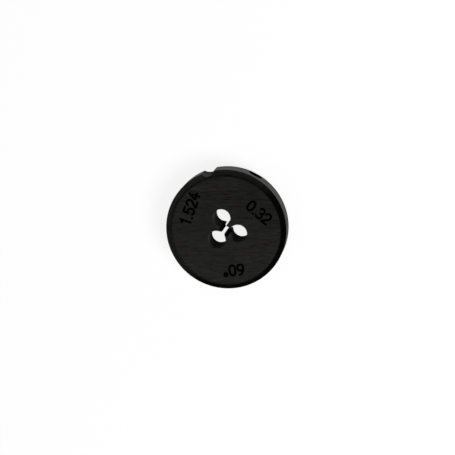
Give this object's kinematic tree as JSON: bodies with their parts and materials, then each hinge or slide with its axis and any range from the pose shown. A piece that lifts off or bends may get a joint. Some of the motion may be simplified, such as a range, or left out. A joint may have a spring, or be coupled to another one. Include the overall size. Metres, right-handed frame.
{
  "type": "round threading die",
  "caption": "Flat round threading die with chip holes round a fine central thread, bevelled faces, and a groove and conical screw seats in its rim.",
  "frame": {"origin": "centre of the back face, on the thread axis", "axes": "+Z along the thread axis, out of the marked face where the screw blank enters; +Y through the middle of the adjusting groove in the rim"},
  "size_m": [0.02, 0.0199, 0.005],
  "materials": {
    "steel": "hardened tool steel, black oxide over ground faces and a turned rim"
  },
  "bodies": {
    "root": {"die": "steel"}
  },
  "joints": []
}
